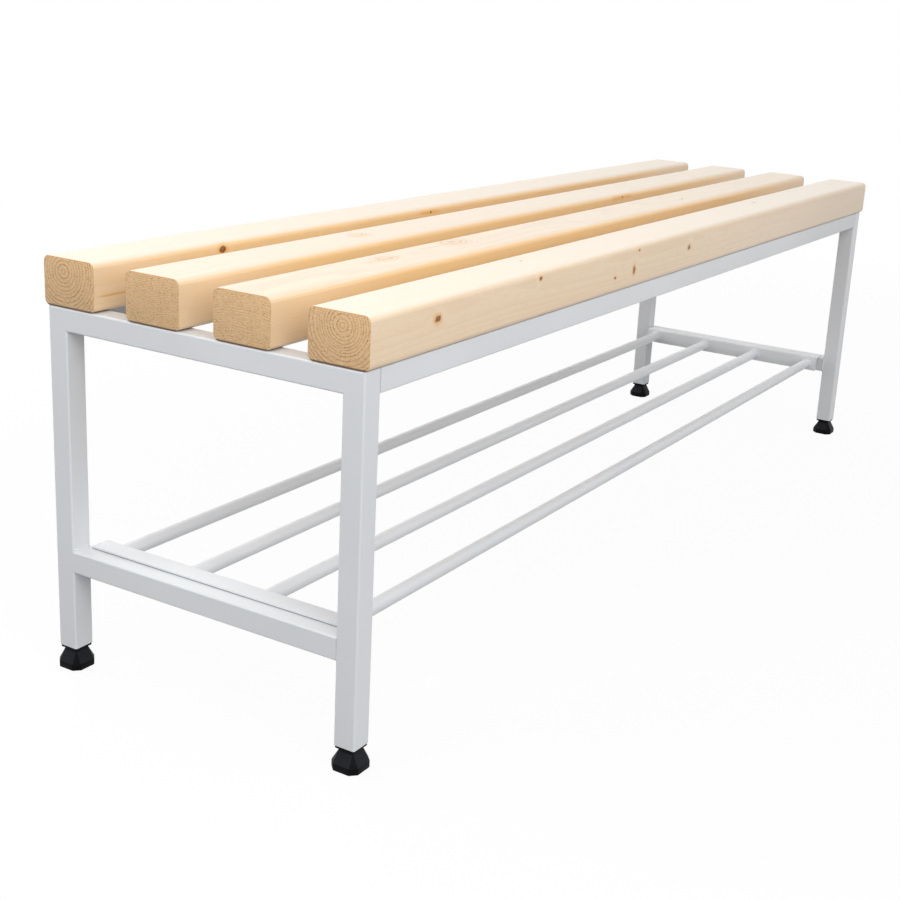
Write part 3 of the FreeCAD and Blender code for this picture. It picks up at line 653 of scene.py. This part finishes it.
def screwTree():
    tree, g, given = newTree("panHeadScrews", {
        "Geometry": "Geometry", "Head Radius": "Float", "Head Height": "Float", "Shank Radius": "Float",
        "Thread Depth": "Float", "Thread Pitch": "Float", "Length": "Float", "Recess": "Float",
        "Recess Slot": "Float", "Seed": "Int", "Finish": "Material"})
    headRadius = given["Head Radius"]
    headHeight = given["Head Height"]
    length = given["Length"]

    def block(x, y, z):
        return g.node("GeometryNodeMeshCube", {}, {"Size": g.vector(x, y, z)})

    # the lower half of a dome, less the two wings of the recess
    dome = g.node("GeometryNodeMeshUVSphere", {},
                  {"Segments": screw["headSegments"], "Rings": screw["headRings"], "Radius": 1.0})
    dome = moved(g, dome, size=g.vector(headRadius, headRadius, headHeight))
    upper = block(headRadius * screw["block"], headRadius * screw["block"], headHeight * screw["block"])
    upper = moved(g, upper, g.vector(0.0, 0.0, headHeight * (screw["block"] / 2)))
    wing = block(given["Recess"] * 2.0, given["Recess Slot"], headHeight * screw["recessHeight"])
    wing = moved(g, wing, g.vector(0.0, 0.0, headHeight * screw["recessAt"]))
    crossWing = moved(g, wing, turn=(0.0, 0.0, quarterTurn))
    head = g.node("GeometryNodeMeshBoolean", {"operation": "DIFFERENCE", "solver": "EXACT"},
                  {"Mesh 1": dome, "Mesh 2": joined(g, upper, wing, crossWing), "Self Intersection": True})
    ridge, core = threadNodes(g, given["Shank Radius"], given["Thread Depth"], given["Thread Pitch"], length)
    core = moved(g, core, g.vector(0.0, 0.0, length / 2.0))
    turn = g.node("FunctionNodeRandomValue", {"data_type": "FLOAT"},
                  {2: 0.0, 3: math.tau, "Seed": given["Seed"]}, 1)
    closeTree(g, joined(g, head, ridge, core), given["Geometry"], g.vector(0.0, 0.0, turn), given["Finish"])
    return tree


screwNodes = screwTree()
screwSizes = {"Head Radius": screw["headRadius"], "Head Height": screw["headHeight"],
              "Shank Radius": screw["shankRadius"], "Thread Depth": screw["threadDepth"],
              "Thread Pitch": screw["threadPitch"], "Recess": screw["recess"], "Recess Slot": screw["recessSlot"],
              "Seed": screw["seed"], "Finish": steel}

# two under each slat at each end; the outer slats' pairs stand inwards, clear of the legs
slatScrews = {"pitch": 36 * mm, "outerPitch": 20 * mm, "outerShift": 12.5 * mm}
shifts = {"front": slatScrews["outerShift"], "rear": -slatScrews["outerShift"]}
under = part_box("top_crossbar_left")[0][2]
spots = []
for end in ends:
    for row in rows:
        centreY = middle(f"slat_{row}").y + shifts.get(row, 0.0)
        spread = slatScrews["outerPitch" if row in shifts else "pitch"]
        for step in (-0.5, 0.5):
            spots.append((middle(f"top_crossbar_{end}").x, centreY + step * spread, under))
low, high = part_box("slat_screws_left")
mesh = grow("slat_screws", screwNodes, spots, {**screwSizes, "Length": high[2] - under})
show("slat_screws", mesh, "frame", "zinc_steel", "slat_screws_left", "slat_screws_right")

headRim = (high[0] - low[0]) / 2
low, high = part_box("rail_lock_screws")
lockX = high[0] - headRim
lockY = high[1] - headRim
spots = [(lockX * sx, lockY * sy, under) for sx in (-1, 1) for sy in (-1, 1)]
mesh = grow("rail_screws", screwNodes, spots, {**screwSizes, "Length": high[2] - under})
show("rail_screws", mesh, "frame", "zinc_steel", "rail_lock_screws")
print("screws placed")

# weld beads under the paint; the butt welds are ground, so only their edge shows
weld = {"bead": 1.5 * mm, "beadSides": 10, "ripple": 0.5 * mm, "rippleScale": 420.0, "ringSink": 0.2 * mm,
        "ringSteps": 48, "lineSteps": 24, "lineShare": 0.8, "butt": 1.25 * mm, "buttSink": 1.2 * mm,
        "buttShare": 0.92}


def beadNodes(g, curve, bead, ripple):
    rope = swept(g, curve, circle(g, weld["beadSides"], bead))
    rough = g.noise(g.node("GeometryNodeInputPosition"), weld["rippleScale"], detail=1.0) - 0.5
    push = g.node("ShaderNodeVectorMath", {"operation": "SCALE"},
                  {0: g.node("GeometryNodeInputNormal"), "Scale": rough * ripple * 2.0})
    lumpy = g.node("GeometryNodeSetPosition", {}, {"Geometry": rope, "Offset": push})
    return g.node("GeometryNodeSetShadeSmooth", {}, {"Geometry": lumpy})


def ringWeldTree():
    tree, g, given = newTree("ringWelds", {"Geometry": "Geometry", "Tube Radius": "Float", "Bead": "Float",
                                           "Ripple": "Float", "Finish": "Material"})
    bead = beadNodes(g, circle(g, weld["ringSteps"], given["Tube Radius"]), given["Bead"], given["Ripple"])
    closeTree(g, bead, given["Geometry"], (0.0, quarterTurn, 0.0), given["Finish"])
    return tree


def lineWeldTree():
    tree, g, given = newTree("lineWelds", {"Geometry": "Geometry", "Length": "Float", "Turn": "Vector",
                                           "Bead": "Float", "Ripple": "Float", "Finish": "Material"})
    half = given["Length"] / 2.0
    line = g.node("GeometryNodeCurvePrimitiveLine", {"mode": "POINTS"},
                  {"Start": g.vector(half * -1.0, 0.0, 0.0), "End": g.vector(half, 0.0, 0.0)})
    line = g.node("GeometryNodeResampleCurve", {}, {"Curve": line, "Count": weld["lineSteps"]})
    bead = beadNodes(g, line, given["Bead"], given["Ripple"])
    closeTree(g, bead, given["Geometry"], given["Turn"], given["Finish"])
    return tree


beadSizes = {"Bead": weld["bead"], "Ripple": weld["ripple"], "Finish": powder}
spots = []
for row in rows:
    low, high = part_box(f"rack_tube_{row}")
    centre = middle(f"rack_tube_{row}")
    for tubeEnd in (low[0] + weld["ringSink"], high[0] - weld["ringSink"]):
        spots.append((tubeEnd, centre.y, centre.z))
mesh = grow("rack_tube_welds", ringWeldTree(), spots, {**beadSizes, "Tube Radius": (high[2] - low[2]) / 2})
show("rack_tube_welds", mesh, "frame", "powder_coat")

lineNodes = lineWeldTree()
flatSpots = []
uprightSpots = []
buttSpots = []
for end in ends:
    low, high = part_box(f"lower_crossbar_{end}")
    centre = middle(f"lower_crossbar_{end}")
    inner = low[0] if centre.x > 0 else high[0]
    outer = low[0] + high[0] - inner
    for y in (low[1], high[1]):
        flatSpots += [(centre.x, y, low[2]), (centre.x, y, high[2])]
        uprightSpots.append((inner, y, centre.z))
        buttSpots.append((outer - math.copysign(weld["buttSink"], centre.x), y + math.copysign(weld["buttSink"], y),
                          centre.z))
lineLength = (high[0] - low[0]) * weld["lineShare"]
buttLength = (high[2] - low[2]) * weld["buttShare"]
upright = (0.0, quarterTurn, 0.0)
for name, spots, sizes in (
        ("crossbar_welds_flat", flatSpots, {"Length": lineLength, "Turn": noTurn}),
        ("crossbar_welds_upright", uprightSpots, {"Length": lineLength, "Turn": upright}),
        ("crossbar_welds_ground", buttSpots,
         {"Length": buttLength, "Turn": upright, "Bead": weld["butt"], "Ripple": 0.0})):
    show(name, grow(name, lineNodes, spots, {**beadSizes, **sizes}), "frame", "powder_coat")
print("welds laid")

# floor, light and camera; the floor bounces less light than it shows, and fades to white
stageSet = {"floorSize": 400.0, "floorColour": (0.26, 0.26, 0.26), "patchColour": (0.24, 0.24, 0.24),
            "patchScale": 0.8, "patchShare": 0.2, "seenColour": (0.88, 0.88, 0.88), "glow": 0.93,
            "whiteFrom": 1.2, "whiteTo": 3.2, "world": 0.054}


# 1 for what the camera sees itself, in a reflection or through something clear
def seenDirectly(g):
    eye, mirror, clear = g.node("ShaderNodeLightPath", out=("Is Camera Ray", "Is Glossy Ray", "Is Transmission Ray"))
    return eye.largest(mirror).largest(clear)


def stageFloor():
    half = stageSet["floorSize"] / 2
    mesh = bpy.data.meshes.new("floor")
    mesh.from_pydata([(-half, -half, 0), (half, -half, 0), (half, half, 0), (-half, half, 0)], [], [(0, 1, 2, 3)])
    floor = newObject("floor", mesh)
    material, g = newFinish("paleFloor")
    place = g.place()
    patches = g.noise(place, stageSet["patchScale"], detail=2.0)
    direct = seenDirectly(g)
    bounce = g.mix(patches * stageSet["patchShare"], stageSet["floorColour"], stageSet["patchColour"])
    colour = g.mix(direct, bounce, stageSet["seenColour"])
    matt = g.node("ShaderNodeBsdfDiffuse", {}, {"Color": colour})
    glow = g.node("ShaderNodeEmission", {}, {"Color": white, "Strength": 1.0})
    reach = g.node("ShaderNodeVectorMath", {"operation": "LENGTH"}, {0: place}, "Value")
    away = g.ramp(reach, stageSet["whiteFrom"], stageSet["whiteTo"])
    share = stageSet["glow"] + away * (1.0 - stageSet["glow"])
    shader = g.node("ShaderNodeMixShader", {}, {0: direct * share, 1: matt, 2: glow})
    g.node("ShaderNodeOutputMaterial", {}, {"Surface": shader}, None)
    mesh.materials.append(material)


def stageWorld():
    world = bpy.data.worlds.new("paleRoom")
    bpy.context.scene.world = world
    world.use_nodes = True
    world.node_tree.nodes.clear()
    g = Graph(world.node_tree)
    strength = stageSet["world"] + seenDirectly(g) * (1.0 - stageSet["world"])
    sky = g.node("ShaderNodeBackground", {}, {"Color": white, "Strength": strength})
    g.node("ShaderNodeOutputWorld", {}, {"Surface": sky}, None)


lamps = {
    "overhead": {"place": (0.0, 0.0, 2.6), "aim": (0.0, 0.0, 0.3), "size": (3.2, 2.4), "power": 8.0},
    "key": {"place": (-2.2, -2.2, 2.0), "aim": (0.0, 0.0, 0.3), "size": (2.4, 2.4), "power": 48.0},
    "frontSoft": {"place": (0.0, -2.6, 1.5), "aim": (0.0, 0.0, 0.3), "size": (3.6, 2.0), "power": 36.5},
    "nearEnd": {"place": (-2.0, 0.1, 1.3), "aim": (-0.7, 0.0, 0.2), "size": (1.5, 1.5), "power": 11.3},
    "nearHigh": {"place": (-1.5, 0.0, 2.4), "aim": (-0.7, 0.0, 0.2), "size": (1.5, 1.5), "power": 7.5},
    "farEnd": {"place": (2.2, 0.2, 1.7), "aim": (0.7, 0.0, 0.2), "size": (1.4, 1.4), "power": 10.0},
    "rearSoft": {"place": (0.0, 2.6, 1.6), "aim": (0.0, 0.0, 0.3), "size": (3.6, 2.0), "power": 70.0},
}


def stageLamp(name, lamp):
    light = bpy.data.lights.new(name, "AREA")
    light.shape = "RECTANGLE"
    light.size, light.size_y = lamp["size"]
    light.energy = lamp["power"]
    holder = newObject(name, light)
    holder.visible_glossy = False       # reflections show the pale room, not the lamps
    holder.location = lamp["place"]
    holder.rotation_euler = (Vector(lamp["aim"]) - Vector(lamp["place"])).to_track_quat("-Z", "Y").to_euler()


# turn is in degrees, lens and sensor in millimetres
camera = {"place": (-1.7621, -0.9141, 0.7363), "turn": (73.474, -3.235, -59.527), "lens": 56.919, "sensor": 36.0,
          "shift": (-0.0556, -0.0333)}


def stageCamera():
    lens = bpy.data.cameras.new("photoCamera")
    lens.sensor_width = camera["sensor"]
    lens.lens = camera["lens"]
    lens.shift_x, lens.shift_y = camera["shift"]
    holder = newObject("photoCamera", lens)
    holder.location = camera["place"]
    holder.rotation_euler = [math.radians(turn) for turn in camera["turn"]]
    bpy.context.scene.camera = holder


stageFloor()
stageWorld()
for name, lamp in lamps.items():
    stageLamp(name, lamp)
stageCamera()
bpy.context.scene.view_settings.view_transform = "Standard"
print("stage set")
